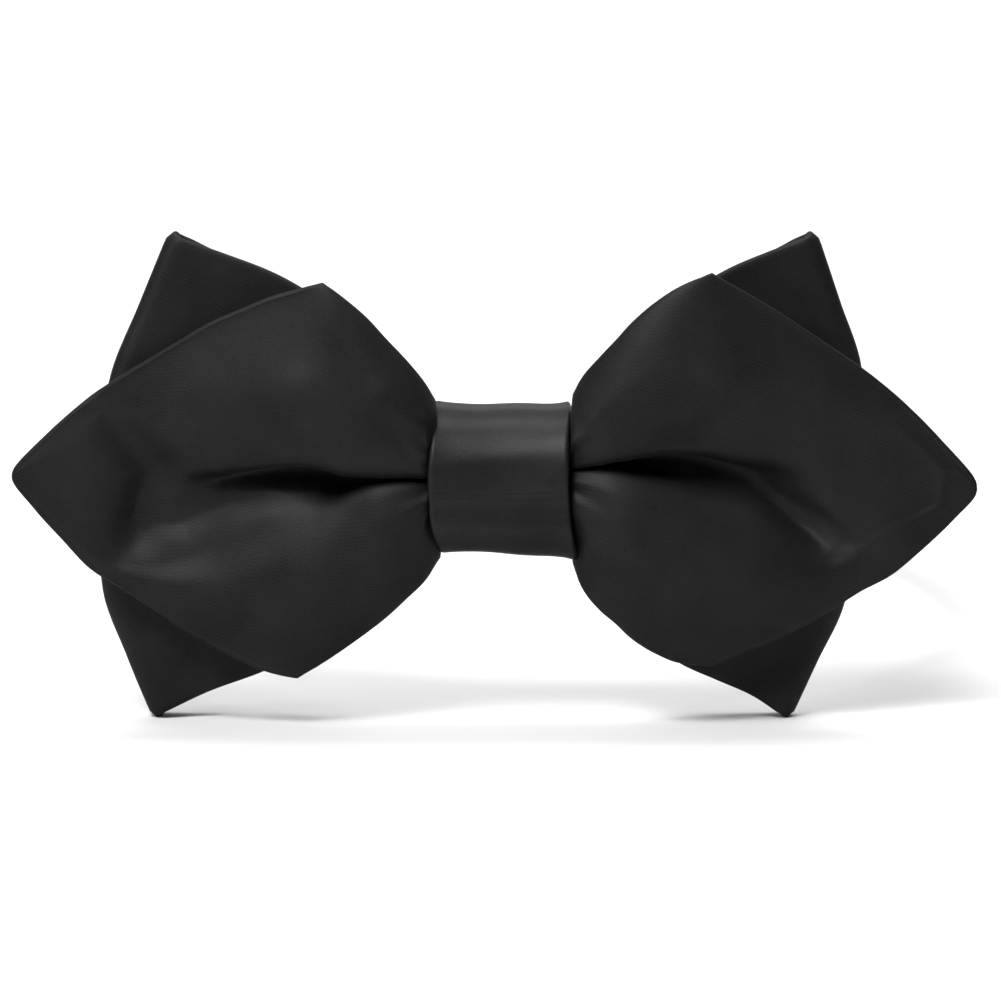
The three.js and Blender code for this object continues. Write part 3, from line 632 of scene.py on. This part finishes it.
def loop_sections(side, table, fold, exit_out):
    """One side of the back bow: the front ply out from the knot, round the fold, and the rear ply back."""
    reach = np.linspace(0, 1, PLY_SECTIONS) ** PLY_SPACING
    read = smooth_rows(table, LOOP_COLUMNS, reach)
    low_edge = EDGE_REACH * BACK_CLOTH / 2
    high_edge = BACK_HIGH[2] - low_edge
    top = read["top"] - low_edge
    low = read["low"] + low_edge
    radius = (read["front_lift"][-1] - read["rear_lift"][-1]) / 2
    down = np.linspace(0, 1, LOOP_ROWS)
    middle_z = (KNOT_LOW[2] + KNOT_HIGH[2]) / 2

    def folded_end(z):
        """The fold's middle surface, out from the bow's middle, with its corners rounded."""
        outer = smooth_rows(fold, FOLD_COLUMNS, 1 - z / BACK_HIGH[2])["out"]
        corner = np.maximum(CORNER_RADIUS - np.minimum(z - low_edge, high_edge - z), 0) / CORNER_RADIUS
        return outer - BACK_CLOTH / 2 - CORNER_RADIUS * (1 - np.sqrt(np.maximum(1 - corner**2, 0)))

    z = top[:, None] + (low - top)[:, None] * down
    out = exit_out + (folded_end(z) - radius - exit_out) * reach[:, None]
    edge = np.where(z > middle_z, top[:, None] - middle_z, middle_z - low[:, None])
    swelling = np.clip((np.abs(z - middle_z) - BAND_REST) / np.maximum(edge - BAND_REST, 1), 0, 1)
    swell = read["swell"][:, None] * np.sin(np.pi * swelling) ** 2
    begun = smoothstep((reach[:, None] - SWELL_START) * SWELL_STEEPNESS)
    front_lift = read["front_lift"][:, None] + FRONT_SWELL * swell * begun
    rear_lift = read["rear_lift"][:, None] - swell
    rear_z = z - REAR_DROP * smoothstep((1 - reach[:, None]) / REAR_DROP_FADE) * (z > middle_z)
    front = np.stack([out, front_lift, z], axis=2)
    rear = np.stack([out, rear_lift, rear_z], axis=2)
    turns = []
    for k in range(1, FOLD_SECTIONS):
        turn = math.pi * k / FOLD_SECTIONS
        high = top[-1] + (high_edge - top[-1]) * math.sin(turn)
        deep = low[-1] + (low_edge - low[-1]) * math.sin(turn)
        row = np.empty_like(front[-1])
        row[:, 2] = high + (deep - high) * down
        row[:, 0] = folded_end(row[:, 2]) - radius * (1 - math.sin(turn))
        row[:, 1] = front[-1][:, 1] + (rear[-1][:, 1] - front[-1][:, 1]) * (1 - math.cos(turn)) / 2
        turns.append(row)
    ring = np.concatenate([front, np.array(turns), rear[::-1]])
    ring[:, :, 0] *= side
    ring[:, :, 1] = PARTING_Y - ring[:, :, 1]
    return ring


def back_bow():
    left = loop_sections(-1, LEFT_LOOP, LEFT_FOLD, KNOT_MARGIN - KNOT_LOW[0])[::-1]
    right = loop_sections(1, RIGHT_LOOP, RIGHT_FOLD, KNOT_MARGIN + KNOT_HIGH[0])
    ring = np.concatenate([left, right])
    along = np.linalg.norm(np.diff(ring[:, LOOP_ROWS // 2], axis=0), axis=1)
    along = np.concatenate([[0], np.cumsum(along)])
    along = np.repeat(along[:, None], LOOP_ROWS, axis=1)
    weave = np.stack([along, across_lengths(ring, LOOP_ROWS // 2)], axis=2)
    return cloth_mesh("back_bow_cloth", ring, weave, BACK_CLOTH, looped=True, centred=True)


# The knot

KNOT_TURNS = 220
KNOT_ACROSS = 64
# The knot's edges against the height share, from its top (0) round the front to its bottom (1).
KNOT_COLUMNS = ["share", "left", "right"]
KNOT_EDGES = [
    [0.00, -7.1, 9.1],
    [0.18, -7.55, 8.85],
    [0.45, -7.85, 8.8],
    [0.75, -7.55, 9.2],
    [1.00, -6.3, 9.9],
]
# How square its outline is from the side: the front's upper half, the front's lower half, and the rear.
KNOT_ROUNDNESS = (2.3, 4.0, 9.0)
# Soft rolls across its front: the height share of each one's middle, its width, and its lift. They're fainter
# at its left edge.
KNOT_ROLLS = [(0.62, 0.07, -0.28), (0.78, 0.08, 0.2)]
ROLL_AT_LEFT = 0.6
# Fainter waves: their depth, and their radians over the knot's width or height.
KNOT_SLACK = 0.07
EDGE_WAVES = 11
SLACK_ACROSS, SLACK_DOWN = 2.5, 23
SLACK_FADE = 3.14
# How much its sides flare in height and forward, how far its bottom runs down over its width, and the share
# of the width at which it is level.
KNOT_FLARE = 0.3
KNOT_RIM_LIFT = 0.35
KNOT_LEAN = 1.0
LEAN_MIDDLE = 0.25


def knot():
    """The wrap: a ring round the waist, with soft rolls across its front."""
    turn = 2 * np.pi * np.arange(KNOT_TURNS) / KNOT_TURNS
    across = np.linspace(0, 1, KNOT_ACROSS)
    middle_z = (KNOT_LOW[2] + KNOT_HIGH[2]) / 2
    half_height = (KNOT_HIGH[2] - KNOT_LOW[2]) / 2
    front_depth = PARTING_Y - KNOT_LOW[1]
    rear_depth = KNOT_HIGH[1] - PARTING_Y
    facing = np.cos(turn) > 0
    upper, lower, rear = KNOT_ROUNDNESS
    roundness = np.where(facing, np.where(np.sin(turn) > 0, upper, lower), rear)
    depth = np.where(facing, front_depth, -rear_depth)
    lift = depth * np.abs(np.cos(turn)) ** (2 / roundness)
    rise = np.sign(np.sin(turn)) * np.abs(np.sin(turn)) ** (2 / roundness)
    share = (1 - rise) / 2
    edges = smooth_rows(KNOT_EDGES, KNOT_COLUMNS, share)
    x = edges["left"][:, None] + (edges["right"] - edges["left"])[:, None] * across
    flare = KNOT_FLARE * (2 * across - 1) ** 6
    lean = KNOT_LEAN * np.clip(-rise, 0, 1)[:, None] * (across - LEAN_MIDDLE)
    wave = KNOT_SLACK * np.sin(across * EDGE_WAVES + 1) * np.sign(rise)[:, None]
    z = middle_z + rise[:, None] * (half_height + flare) - lean + wave * np.abs(rise)[:, None] ** 3
    front = np.where(facing, np.cos(turn), 0)[:, None]
    share = share[:, None]
    roll = sum(peak * np.exp(-(((share - place) / width) ** 2)) for place, width, peak in KNOT_ROLLS)
    ripple = np.sin(share * SLACK_DOWN + across * SLACK_ACROSS)
    slack = KNOT_SLACK * ripple * np.sin(across * SLACK_FADE)
    folds = roll * (ROLL_AT_LEFT + (1 - ROLL_AT_LEFT) * across) + slack
    lift = lift[:, None] + folds * front + KNOT_RIM_LIFT * (2 * across - 1) ** 2 * front
    grid = np.stack([x, PARTING_Y - lift, z], axis=2)
    around = np.linalg.norm(np.diff(grid[:, KNOT_ACROSS // 2], axis=0), axis=1)
    around = np.concatenate([[0], np.cumsum(around)])
    weave = np.stack([np.repeat(around[:, None], KNOT_ACROSS, axis=1), -x], axis=2)
    return cloth_mesh("knot_cloth", grid, weave, KNOT_CLOTH, looped=True)


# The neck band and the clasp

# The band's columns, its steps round a side and round a clasp bar, and the length of its ends.
BAND_COLUMNS = 15
SIDE_TURNS = 90
HAIRPIN_TURNS = 16
FLAP_LENGTH = 8
# The widths of the clasp's bars and rims, the rounding of its edges, and its outer and inner corner radius.
CLASP_BAR = 2.0
CLASP_RIM = 1.5
CLASP_BEVEL = 0.25
CLASP_CORNERS = (1.4, 0.7)
CORNER_TURNS = 6


def band_path():
    """The band's middle line from above, with its front and rear. Each end turns round a bar of the clasp."""
    half_width = (BAND_HIGH[0] - BAND_LOW[0] - BAND_CLOTH) / 2
    centre_x = (BAND_HIGH[0] + BAND_LOW[0]) / 2
    front_y = BAND_LOW[1] + BAND_CLOTH / 2
    rear_y = BAND_HIGH[1] - BAND_CLOTH / 2
    middle_y, half_depth = (front_y + rear_y) / 2, (rear_y - front_y) / 2
    clasp_half = (CLASP_HIGH[0] - CLASP_LOW[0]) / 2
    straight = max(clasp_half, (KNOT_HIGH[0] - KNOT_LOW[0]) / 2) + CLEARANCE
    hairpin = rear_y - (CLASP_LOW[1] + CLASP_HIGH[1]) / 2
    turn_x = clasp_half - CLASP_BAR - CLEARANCE
    path = [(0.0, front_y), (straight * 0.5, front_y)]
    for k in range(SIDE_TURNS + 1):
        turn = math.pi * k / SIDE_TURNS
        x = straight + (half_width - straight) * math.sin(turn)
        path.append((x, middle_y - half_depth * math.cos(turn)))
    path.append(((straight + turn_x) / 2, rear_y))
    for k in range(HAIRPIN_TURNS + 1):
        turn = math.pi * k / HAIRPIN_TURNS
        path.append((turn_x - hairpin * math.sin(turn), rear_y - hairpin * (1 - math.cos(turn))))
    for k in range(1, FLAP_LENGTH + 1):
        path.append((turn_x + k, rear_y - 2 * hairpin))
    path = np.array(path)
    left = path[:0:-1] * [-1, 1]
    return np.concatenate([left, path]) + [centre_x, 0], front_y, rear_y - 2 * hairpin


def neck_band():
    """The ribbon: upright, and lower at its rear than at its front."""
    path, front_y, rear_y = band_path()
    fall = np.clip((path[:, 1] - front_y) / (rear_y - front_y), 0, 1)
    front_level = (KNOT_LOW[2] + KNOT_HIGH[2]) / 2
    rear_level = (CLASP_LOW[2] + CLASP_HIGH[2]) / 2
    level = (front_level + (rear_level - front_level) * fall)[:, None]
    z = level + (BAND_WIDTH - BAND_CLOTH) * np.linspace(0.5, -0.5, BAND_COLUMNS)
    x = np.repeat(path[:, :1], BAND_COLUMNS, axis=1)
    y = np.repeat(path[:, 1:], BAND_COLUMNS, axis=1)
    along = np.concatenate([[0], np.cumsum(np.linalg.norm(np.diff(path, axis=0), axis=1))])
    weave = np.stack([np.repeat(along[:, None], BAND_COLUMNS, axis=1), z - level], axis=2)
    grid = np.stack([x, y, z], axis=2)
    return cloth_mesh("neck_band_ribbon", grid, weave, BAND_CLOTH, centred=True, rim_steps=6)


def clasp():
    """A plain frame with rounded corners and edges."""
    low, high = CLASP_LOW, CLASP_HIGH
    curve = bpy.data.curves.new("clasp_frame", "CURVE")
    curve.dimensions = "2D"
    curve.fill_mode = "BOTH"
    curve.extrude = ((high[1] - low[1]) / 2 - CLASP_BEVEL) * MM
    curve.bevel_depth = CLASP_BEVEL * MM
    curve.bevel_resolution = 3
    half_x = (high[0] - low[0]) / 2
    half_z = (high[2] - low[2]) / 2
    outer = (half_x - CLASP_BEVEL, half_z - CLASP_BEVEL)
    inner = (half_x - CLASP_BAR + CLASP_BEVEL, half_z - CLASP_RIM + CLASP_BEVEL)
    for halves, radius in zip((outer, inner), CLASP_CORNERS):
        points = rounded_rectangle(*halves, radius)
        spline = curve.splines.new("POLY")
        spline.points.add(len(points) - 1)
        for point, (x, z) in zip(spline.points, points):
            point.co = (x * MM, z * MM, 0, 1)
        spline.use_cyclic_u = True
    shape = bpy.data.objects.new("clasp_outline", curve)
    bpy.context.scene.collection.objects.link(shape)
    mesh = bpy.data.meshes.new_from_object(shape.evaluated_get(bpy.context.evaluated_depsgraph_get()))
    bpy.data.objects.remove(shape)
    mesh.name = "clasp_metal"
    centre = (low + high) / 2 * MM
    for vertex in mesh.vertices:
        x, z, y = vertex.co
        vertex.co = (centre[0] + x, centre[1] + y, centre[2] + z)
    mesh.flip_normals()
    piece = bpy.data.objects.new("clasp_metal", mesh)
    bpy.context.scene.collection.objects.link(piece)
    return piece


def rounded_rectangle(half_x, half_z, radius):
    points = []
    for side_x, side_z, start in ((1, 1, 0), (-1, 1, 90), (-1, -1, 180), (1, -1, 270)):
        for k in range(CORNER_TURNS + 1):
            turn = math.radians(start + 90 * k / CORNER_TURNS)
            x = side_x * (half_x - radius) + radius * math.cos(turn)
            points.append((x, side_z * (half_z - radius) + radius * math.sin(turn)))
    return points


# Materials


def new_material(name):
    material = bpy.data.materials.new(name)
    material.use_nodes = True
    tree = material.node_tree
    return material, tree.nodes, tree.links, tree.nodes["Principled BSDF"]


def math_node(nodes, links, operation, *values):
    node = nodes.new("ShaderNodeMath")
    node.operation = operation
    for socket, value in zip(node.inputs, values):
        if isinstance(value, (int, float)):
            socket.default_value = value
        else:
            links.new(value, socket)
    return node.outputs[0]


def noise(nodes, links, vector, scale, detail=2.0, roughness=0.5):
    node = nodes.new("ShaderNodeTexNoise")
    node.inputs["Scale"].default_value = scale
    node.inputs["Detail"].default_value = detail
    node.inputs["Roughness"].default_value = roughness
    links.new(vector, node.inputs["Vector"])
    return node.outputs["Fac"]


def scaled(nodes, links, vector, scale, rotation=0.0):
    node = nodes.new("ShaderNodeMapping")
    node.inputs["Scale"].default_value = scale
    node.inputs["Rotation"].default_value = (0, 0, rotation)
    links.new(vector, node.inputs["Vector"])
    return node.outputs["Vector"]


def weave_place(nodes, links):
    """Places in the flat cloth, in millimetres."""
    uv = nodes.new("ShaderNodeUVMap")
    uv.uv_map = "Weave"
    return scaled(nodes, links, uv.outputs["UV"], (1 / WEAVE_UNIT,) * 3)


def coloured(nodes, links, shader, tone, dark, light, low=0.0, high=1.0):
    """Base colour from dark to light as the tone goes from low to high."""
    ramp = nodes.new("ShaderNodeValToRGB")
    for element, position, colour in zip(ramp.color_ramp.elements, (low, high), (dark, light)):
        element.position = position
        element.color = (*colour, 1)
    links.new(tone, ramp.inputs["Fac"])
    links.new(ramp.outputs["Color"], shader.inputs["Base Color"])


def embossed(nodes, links, shader, height, strength, depth):
    """Relief of the given depth, in millimetres."""
    bump = nodes.new("ShaderNodeBump")
    bump.inputs["Strength"].default_value = strength
    bump.inputs["Distance"].default_value = depth * MM
    links.new(height, bump.inputs["Height"])
    links.new(bump.outputs["Normal"], shader.inputs["Normal"])


def roughened(nodes, links, shader, value, low, high):
    rough = nodes.new("ShaderNodeMapRange")
    rough.inputs["To Min"].default_value = low
    rough.inputs["To Max"].default_value = high
    links.new(value, rough.inputs["Value"])
    links.new(rough.outputs["Result"], shader.inputs["Roughness"])


# The satin's noise scales: the twill's drift, its threads, its grain and its clouds.
DRIFT_SCALE = (0.06, 0.3, 1)
THREAD_SCALE = (1.6, 7.0, 1)
GRAIN_SCALE = 4.2
CLOUD_SCALE = 0.09
# The twill's drift as a share of its pitch, the parts' weights in relief and tone, and the relief's depth.
DRIFT_SHARE = 1.2
TWILL_WEIGHT = 0.22
GRAIN_WEIGHT = 0.9
HEIGHT_WEIGHT = 0.7
CLOUD_WEIGHT = 0.5
RELIEF_DEPTH = 0.06


def satin(name, dark, light, pitch, twill_angle, roughness, relief, gloss):
    """Black satin. Fine twill lines cross it at an angle, broken by the threads' unevenness."""
    material, nodes, links, shader = new_material(name)
    place = weave_place(nodes, links)
    drift = noise(nodes, links, scaled(nodes, links, place, DRIFT_SCALE), 1.0, 2)
    turned = scaled(nodes, links, place, (1, 1, 1), twill_angle)
    split = nodes.new("ShaderNodeSeparateXYZ")
    links.new(turned, split.inputs[0])
    wander = math_node(nodes, links, "MULTIPLY", drift, pitch * DRIFT_SHARE)
    line = math_node(nodes, links, "ADD", split.outputs["Y"], wander)
    phase = math_node(nodes, links, "MULTIPLY", line, 2 * math.pi / pitch)
    twill = math_node(nodes, links, "SINE", phase)
    twill = math_node(nodes, links, "MULTIPLY_ADD", twill, 0.5, 0.5)
    thread = noise(nodes, links, scaled(nodes, links, turned, THREAD_SCALE), 1.0, 2, 0.7)
    grain = noise(nodes, links, place, GRAIN_SCALE, 3, 0.8)
    cloudy = noise(nodes, links, place, CLOUD_SCALE, 3)
    threaded = math_node(nodes, links, "MULTIPLY", twill, thread)
    woven = math_node(nodes, links, "MULTIPLY", threaded, TWILL_WEIGHT)
    height = math_node(nodes, links, "MULTIPLY_ADD", grain, GRAIN_WEIGHT, woven)
    embossed(nodes, links, shader, height, relief, RELIEF_DEPTH)
    fine = math_node(nodes, links, "MULTIPLY", height, HEIGHT_WEIGHT)
    tone = math_node(nodes, links, "MULTIPLY_ADD", cloudy, CLOUD_WEIGHT, fine)
    coloured(nodes, links, shader, tone, dark, light, 0.3, 0.95)
    roughened(nodes, links, shader, grain, roughness - 0.05, roughness + 0.09)
    shader.inputs["Metallic"].default_value = gloss
    shader.inputs["Specular IOR Level"].default_value = 0.1
    shader.inputs["Specular Tint"].default_value = (0.4, 0.4, 0.4, 1)
    return material


# The distances between the ribbon's ribs and between its threads.
RIB_PITCH = 0.7
THREAD_PITCH = 0.45


def ribbon_material():
    """Plain woven ribbon with cross ribs."""
    material, nodes, links, shader = new_material("black ribbon")
    place = weave_place(nodes, links)
    split = nodes.new("ShaderNodeSeparateXYZ")
    links.new(place, split.inputs[0])
    rib_turns = math_node(nodes, links, "MULTIPLY", split.outputs["X"], 2 * math.pi / RIB_PITCH)
    ribs = math_node(nodes, links, "SINE", rib_turns)
    thread_turns = math_node(nodes, links, "MULTIPLY", split.outputs["Y"], 2 * math.pi / THREAD_PITCH)
    threads = math_node(nodes, links, "SINE", thread_turns)
    weave = math_node(nodes, links, "MULTIPLY_ADD", threads, 0.35, ribs)
    embossed(nodes, links, shader, weave, 0.6, 0.08)
    speck = noise(nodes, links, place, 4.0, 3, 0.7)
    coloured(nodes, links, shader, speck, (0.004, 0.004, 0.0043), (0.013, 0.013, 0.0135))
    shader.inputs["Roughness"].default_value = 0.62
    shader.inputs["Specular IOR Level"].default_value = 0.3
    shader.inputs["Sheen Weight"].default_value = 0.03
    return material


def enamel_material():
    """Black enamel on metal, with faint wear."""
    material, nodes, links, shader = new_material("black enamel")
    where = nodes.new("ShaderNodeTexCoord")
    worn = noise(nodes, links, where.outputs["Object"], 900, 4, 0.6)
    coloured(nodes, links, shader, worn, (0.004, 0.004, 0.0045), (0.014, 0.014, 0.015), 0.35, 0.8)
    roughened(nodes, links, shader, worn, 0.22, 0.4)
    embossed(nodes, links, shader, worn, 0.15, 0.02)
    return material


# Stage, light and camera

# The sheet, in metres: its front edge, where it bends up and how widely, its top and half its width.
SHEET_FRONT = -0.4
SHEET_BEND = 0.55
SHEET_RADIUS = 0.4
SHEET_TOP = 2.2
SHEET_HALF_WIDTH = 2.2


def stage_and_light():
    """A white sheet that curves up behind, a softbox over the bow's rear, a key and a weak side light from
    the left of the camera, and a light for the sheet behind."""
    profile = [(SHEET_FRONT, 0.0), (SHEET_BEND, 0.0)]
    for k in range(1, 13):
        turn = math.radians(90 * k / 12)
        rise = SHEET_RADIUS * (1 - math.cos(turn))
        profile.append((SHEET_BEND + SHEET_RADIUS * math.sin(turn), rise))
    profile.append((SHEET_BEND + SHEET_RADIUS, SHEET_TOP))
    vertices = [(x, y, z) for y, z in profile for x in (-SHEET_HALF_WIDTH, SHEET_HALF_WIDTH)]
    faces = [(2 * i, 2 * i + 1, 2 * i + 3, 2 * i + 2) for i in range(len(profile) - 1)]
    mesh = bpy.data.meshes.new("white_sheet")
    mesh.from_pydata(vertices, [], faces)
    mesh.polygons.foreach_set("use_smooth", [True] * len(mesh.polygons))
    sheet = bpy.data.objects.new("white_sheet", mesh)
    bpy.context.scene.collection.objects.link(sheet)
    material, _, _, shader = new_material("white sheet")
    shader.inputs["Base Color"].default_value = (0.6, 0.6, 0.6, 1)
    shader.inputs["Roughness"].default_value = 0.8
    mesh.materials.append(material)

    world = bpy.data.worlds.new("studio")
    world.use_nodes = True
    world.node_tree.nodes["Background"].inputs["Color"].default_value = (1, 1, 1, 1)
    world.node_tree.nodes["Background"].inputs["Strength"].default_value = 0.03
    bpy.context.scene.world = world

    area_light("softbox", (0.15, 0.2, 0.8), (0.08, 0.1, 0.0), (1.1, 0.7), 4.2)
    area_light("key_light", (-0.2, -0.45, 0.6), (0, -0.07, 0.03), (0.3, 0.3), 8.0)
    area_light("side_light", (-0.6, -0.35, 0.25), (0, -0.07, 0.03), (0.25, 0.25), 1.2)
    area_light("backdrop_light", (0.0, 0.3, 1.3), (0, 0.9, 0.3), (1.4, 0.5), 21.5)


def area_light(name, place, target, size, power):
    data = bpy.data.lights.new(name, "AREA")
    data.shape = "RECTANGLE"
    data.size, data.size_y = size
    data.energy = power
    light = bpy.data.objects.new(name, data)
    light.location = place
    light.rotation_mode = "QUATERNION"
    light.rotation_quaternion = (Vector(target) - Vector(place)).to_track_quat("-Z", "Y")
    bpy.context.scene.collection.objects.link(light)


SENSOR = 36.0


def camera():
    data = bpy.data.cameras.new("camera")
    data.sensor_width = SENSOR
    data.lens = SENSOR * VIEW_DISTANCE / VIEW_WIDTH
    data.clip_start = 0.05
    item = bpy.data.objects.new("camera", data)
    aim_x, aim_lift, aim_z = VIEW_AIM
    target = Vector((aim_x, PARTING_Y - aim_lift, aim_z)) * MM
    away = Vector((0, -math.cos(VIEW_ELEVATION), math.sin(VIEW_ELEVATION)))
    item.location = target + away * VIEW_DISTANCE * MM
    item.rotation_mode = "QUATERNION"
    item.rotation_quaternion = (-away).to_track_quat("-Z", "Y")
    bpy.context.scene.collection.objects.link(item)
    bpy.context.scene.camera = item
    bpy.context.scene.view_settings.view_transform = "Standard"


def dress(piece, node, material):
    """Puts a finished piece in a frame node's place."""
    piece.data.materials.append(material)
    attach(piece, "root")
    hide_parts(node)
    return piece


camera()
stage_and_light()

wing_satin = satin(
    "black satin", dark=(0.006, 0.006, 0.0062), light=(0.026, 0.026, 0.0265),
    pitch=0.42, twill_angle=0.45, roughness=0.5, relief=0.55, gloss=0.5,
)
knot_satin = satin(
    "black knot satin", dark=(0.008, 0.008, 0.0082), light=(0.030, 0.030, 0.0305),
    pitch=0.36, twill_angle=-0.8, roughness=0.42, relief=0.5, gloss=0.62,
)

front = dress(front_bow(), "front_bow", wing_satin)
back = dress(back_bow(), "back_bow", wing_satin)
wrap = dress(knot(), "knot", knot_satin)
band = dress(neck_band(), "neck_band", ribbon_material())
dress(clasp(), "clasp", enamel_material())
